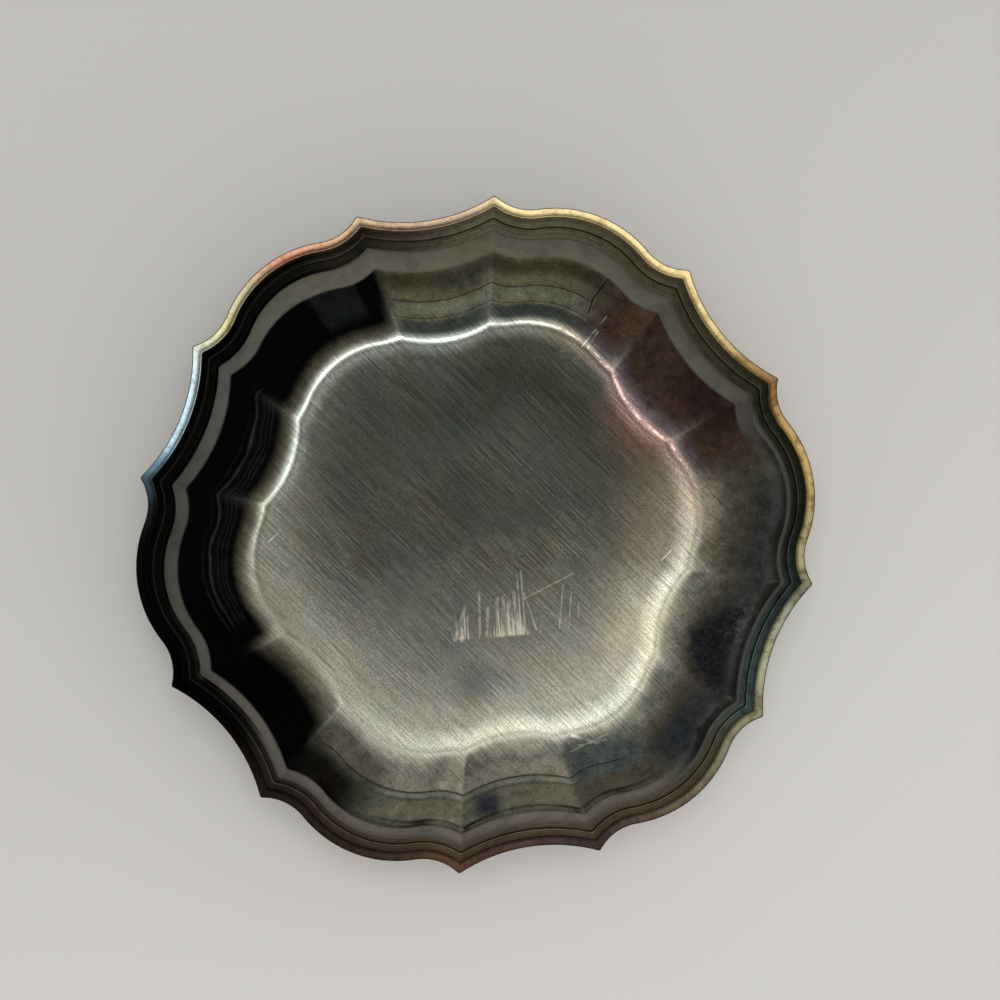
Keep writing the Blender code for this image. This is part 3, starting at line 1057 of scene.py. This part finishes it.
# Tarnish and painted reflection round the lip, gold above and near black to the left, from the right of the
# picture round through its top, by degrees
LIP_TARNISH_AND_REFLECTION = (
    (0, (0.095, 0.078, 0.04)), (14, (0.145, 0.104, 0.036)), (25, (0.07, 0.038, 0.016)),
    (33, (0.105, 0.073, 0.028)), (38, (0.21, 0.162, 0.072)), (52, (0.27, 0.215, 0.1)),
    (84, (0.285, 0.24, 0.125)), (92, (0.19, 0.138, 0.1)), (112, (0.205, 0.145, 0.09)),
    (126, (0.24, 0.11, 0.068)), (134, (0.2, 0.17, 0.11)), (142, (0.26, 0.24, 0.12)),
    (150, (0.23, 0.29, 0.31)), (163, (0.19, 0.27, 0.32)), (167, (0.06, 0.11, 0.14)),
    (171, (0.016, 0.028, 0.034)), (176, (0.003, 0.004, 0.004)), (181, (0.0008, 0.001, 0.0009)),
    (205, (0.0002, 0.0002, 0.0002)), (222, (0.0012, 0.0008, 0.0007)), (256, (0.012, 0.008, 0.006)),
    (264, (0.023, 0.014, 0.009)), (278, (0.02, 0.012, 0.01)), (291, (0.01, 0.009, 0.009)),
    (300, (0.026, 0.018, 0.012)), (327, (0.068, 0.067, 0.04)), (333, (0.095, 0.096, 0.06)),
    (345, (0.085, 0.089, 0.062)), (350, (0.04, 0.042, 0.026)), (355, (0.1, 0.09, 0.048)),
    (360, (0.095, 0.078, 0.04)),
)
# Tarnish and painted reflection of the border's hollow and reed, near black to the left, the same way round
COVE_TARNISH_AND_REFLECTION = (
    (0, (0.06, 0.077, 0.07)), (15, (0.08, 0.08, 0.045)), (30, (0.12, 0.12, 0.062)),
    (40, (0.19, 0.182, 0.095)), (60, (0.285, 0.272, 0.16)), (90, (0.335, 0.33, 0.21)),
    (104, (0.11, 0.094, 0.056)), (108, (0.095, 0.082, 0.05)), (112, (0.012, 0.012, 0.01)),
    (118, (0.072, 0.058, 0.034)), (130, (0.02, 0.015, 0.009)), (136, (0.002, 0.002, 0.002)),
    (205, (0.004, 0.005, 0.005)), (220, (0.02, 0.019, 0.016)), (240, (0.115, 0.075, 0.058)),
    (262, (0.32, 0.222, 0.14)), (275, (0.355, 0.247, 0.17)), (300, (0.37, 0.265, 0.16)),
    (318, (0.335, 0.31, 0.187)), (326, (0.262, 0.395, 0.37)), (345, (0.138, 0.213, 0.213)),
    (360, (0.06, 0.077, 0.07)),
)

# The border's left side, where all but its lip gets near-black painted shade, and the depths of its reed and
# of its dark lines
PAINTED_SHADE_SIDE = (118, 222, 10)
REED = (0.44, 0.57, 0.02)
REED_TINT = (0.02, 0.019, 0.015)
PAINTED_SHADE_TINT = (0.004, 0.004, 0.004)
BORDER_LINES = ((0.65, 0.67, 0.55), (0.77, 0.8, 0.65), (0.26, 0.28, 0.3))
BORDER_LINE_TINT = (0.02, 0.018, 0.013)
MOTTLE_GAIN = (0.45, 0.38, 0.3)
DOT_GAIN = (0.35, 0.3, 0.25)
ARRIS_TINT = (0.02, 0.012, 0.008)
# Pale painted reflection low on the border, and the colour of a painted highlight line at its foot
PALE_FOOT_REFLECTION = ((195, 385, 10), (0.74, 0.9), (0.33, 0.314, 0.27), 0.85)
FOOT_HIGHLIGHT_TINT = (0.48, 0.47, 0.43)


def border_shade(nodes, place, way, turn, specks, below, reed):
    """The border's colour with painted reflection and painted shade, and where its painted black side lies.
    """
    # Tarnished colour with painted reflection for the lip and the hollow
    lip = colours_round(nodes, turn, LIP_TARNISH_AND_REFLECTION)
    cove = colours_round(nodes, turn, COVE_TARNISH_AND_REFLECTION)
    paint = Paint(nodes, place, way, turn, nodes.mix(below, lip, cove))
    painted_shade_side = paint.facing(PAINTED_SHADE_SIDE)
    paint.wash(reed, REED_TINT, 0.9)
    # Painted shade: the reed near black on the left side
    paint.wash(nodes.times(reed, painted_shade_side), PAINTED_SHADE_TINT, 0.9)
    for low, high, strength in BORDER_LINES:
        paint.wash(band(nodes, way, low, high, 0.015), BORDER_LINE_TINT, strength)
    mottled = nodes.patches(place, 420.0, 0.46, 0.64, detail=5.0, roughness=0.65)
    speckling = nodes.level(paint.facing((-35, 30, 10)), 0.5, 0.85)
    paint.tone(nodes.times(mottled, speckling), MOTTLE_GAIN)
    paint.tone(nodes.times(nodes.between(specks, 0.5, 0.75), 0.3), DOT_GAIN)
    paint.wash(nodes.between(way, -0.015, -0.06), ARRIS_TINT, 0.95)
    # Painted reflection: the pale lower band of the border, from the lower left round to the right
    paint.lay_tints((PALE_FOOT_REFLECTION,))
    # Painted highlight: a thin light line at the border's foot, fainter on the painted black side
    foot_highlight = nodes.times(nodes.between(way, 0.96, 0.99), nodes.level(painted_shade_side, 1.0, 0.35))
    paint.wash(foot_highlight, FOOT_HIGHLIGHT_TINT, 0.75)
    return paint.shade, painted_shade_side


def border_material():
    material, nodes = new_material("polished_silver_tarnish_and_painted_light")
    place = picture_place(nodes)
    way = nodes.add("Attribute", attribute_name="way").outputs["Fac"]
    cloud = nodes.noise(place, 60.0, detail=4.0)
    specks = nodes.noise(place, 1400.0, detail=2.0)
    wander = nodes.times(nodes.minus(cloud, 0.5), 0.02)
    turn = nodes.math("FRACT", nodes.plus(nodes.plus(turn_of(nodes, place), wander), 1.0))
    below = nodes.between(way, 0.015, 0.05)
    reed = band(nodes, way, *REED)
    shade, painted_shade_side = border_shade(nodes, place, way, turn, specks, below, reed)
    rough = nodes.plus(0.1, nodes.times(cloud, 0.1))
    rough = nodes.plus(rough, nodes.times(reed, 0.18))
    dull = nodes.times(below, nodes.rest(nodes.math("MAXIMUM", painted_shade_side, reed)))
    metallic = nodes.rest(nodes.times(dull, 0.5))
    bump = nodes.add("Bump", {"Strength": 0.15, "Distance": 0.00003, "Height": specks})
    normal = bump.outputs["Normal"]
    finish_surface(nodes, {"Base Color": shade, "Metallic": metallic, "Roughness": rough, "Normal": normal})
    return material


def make_bowl():
    bowl = bowl_skin().build("bowl_fine", closed=False, fill_last=True)
    shell = bowl.modifiers.new("sheet", "SOLIDIFY")
    shell.thickness = SHEET_THICKNESS
    shell.offset = -1.0
    shell.use_even_offset = True
    shell.use_quality_normals = True
    bowl.data.materials.append(bowl_material())
    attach(bowl, "root")
    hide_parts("bowl")


def make_border():
    border = border_skin().build("rim_border_fine", closed=True, fill_last=False)
    border.data.materials.append(border_material())
    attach(border, "root")
    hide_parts("rim_border")


# The table's top lies a hair below the dish, so that the two don't share one plane
TABLE_RADIUS = 6.0
TABLE_DROP = 0.0002
# Painted shade: the table is darker towards the top left of the picture and lighter towards the lower right
TABLE_SHADED = (0.585, 0.568, 0.532)
TABLE_LIT = (0.69, 0.67, 0.635)


def make_table():
    material, nodes = new_material("pale_table")
    place = picture_place(nodes)
    x, y, _ = nodes.split(place)
    across = nodes.minus(nodes.times(x, 0.4), y)
    grain = nodes.noise(place, 1200.0, detail=2.0)
    # Painted shade across the table, darker towards the top left of the picture
    shade = nodes.mix(nodes.between(across, -0.14, 0.14), TABLE_SHADED, TABLE_LIT)
    bump = nodes.add("Bump", {"Strength": 0.05, "Distance": 0.0001, "Height": grain})
    normal = bump.outputs["Normal"]
    inputs = {"Base Color": shade, "Roughness": 0.8, "Specular IOR Level": 0.2, "Normal": normal}
    finish_surface(nodes, inputs)
    under = (0.0, 0.0, -TABLE_DROP)
    bpy.ops.mesh.primitive_circle_add(vertices=64, radius=TABLE_RADIUS, fill_type="NGON", location=under)
    table = bpy.context.object
    table.name = "table_top"
    table.data.materials.append(material)


# The room: tilt of its darkest spot, brightness by degrees from that spot, brightness round the picture at
# the sides and overhead, and the degrees from the spot between which overhead gives way to the sides
ROOM_TILT = radians(5.2)
ROOM_LEAN = radians(0.8)
RING = ((0.0, 0.1), (6.5, 0.14), (8.5, 4.5), (14.0, 4.5), (24.0, 0.9), (60.0, 0.8), (90.0, 0.9))
SIDES = ((0, 1.0), (60, 0.6), (110, 0.4), (180, 0.35), (230, 0.6), (280, 0.95), (360, 1.0))
OVERHEAD_SIDES = ((0, 1.05), (90, 0.9), (180, 0.8), (270, 1.0), (360, 1.05))
RING_END = (17.0, 34.0)
LEVEL = 90.0


def make_studio():
    """A dim room with a bright ring overhead round the camera, darkest at the left of the picture."""
    world = bpy.data.worlds.new("studio")
    bpy.context.scene.world = world
    world.use_nodes = True
    nodes = Nodes(world.node_tree)
    here = nodes.add("TexCoord").outputs["Generated"]
    turned = nodes.mapped(here, rotation=(0.0, 0.0, PICTURE_TURN))
    tilted = nodes.mapped(turned, rotation=(ROOM_TILT, ROOM_LEAN, 0.0))
    x, y, z = nodes.split(tilted)
    from_top = nodes.math("DIVIDE", nodes.math("ARCCOSINE", z), radians(LEVEL))
    ring = nodes.ramp(from_top, [(angle / LEVEL, shade) for angle, shade in RING])
    side = colours_round(nodes, turn_of(nodes, tilted), SIDES)
    overhead = colours_round(nodes, turn_of(nodes, tilted), OVERHEAD_SIDES)
    low = nodes.between(from_top, *[angle / LEVEL for angle in RING_END])
    light = nodes.mix(1.0, ring, nodes.mix(low, overhead, side), blend="MULTIPLY")
    background = nodes.add("Background", {"Color": light, "Strength": 1.0})
    nodes.add("OutputWorld", {"Surface": background.outputs[0]})


# Camera, in the picture's axes: place in metres from the middle of the dish's base, small turns of its aim,
# and its lens and shift in pixels of a frame of 1000
CAMERA_PLACE = (0.0005, -0.029, 0.475)
CAMERA_TILT = radians(-3.1)
CAMERA_PAN = radians(1.25)
CAMERA_ROLL = radians(0.17)
FOCAL_PIXELS = 1862.0
PICTURE_PIXELS = 1000.0
SENSOR_WIDTH = 36.0
SHIFT_PIXELS = (20.0, 50.0)


def make_camera():
    data = bpy.data.cameras.new("camera")
    camera = bpy.data.objects.new("camera", data)
    bpy.context.scene.collection.objects.link(camera)
    data.sensor_width = SENSOR_WIDTH
    data.lens = FOCAL_PIXELS / PICTURE_PIXELS * SENSOR_WIDTH
    data.shift_x = -SHIFT_PIXELS[0] / PICTURE_PIXELS
    data.shift_y = SHIFT_PIXELS[1] / PICTURE_PIXELS
    data.clip_start = 0.01
    data.clip_end = 50.0
    to_camera = (
        Matrix.Rotation(CAMERA_ROLL, 4, "Z")
        @ Matrix.Rotation(CAMERA_PAN, 4, "Y")
        @ Matrix.Rotation(CAMERA_TILT, 4, "X")
        @ Matrix.Translation(-Vector(CAMERA_PLACE))
        @ Matrix.Rotation(PICTURE_TURN, 4, "Z")
    )
    camera.matrix_world = to_camera.inverted()
    bpy.context.scene.camera = camera


def main():
    scene = bpy.context.scene
    scene.view_settings.view_transform = "Standard"
    make_camera()
    make_bowl()
    make_border()
    make_table()
    make_studio()


main()
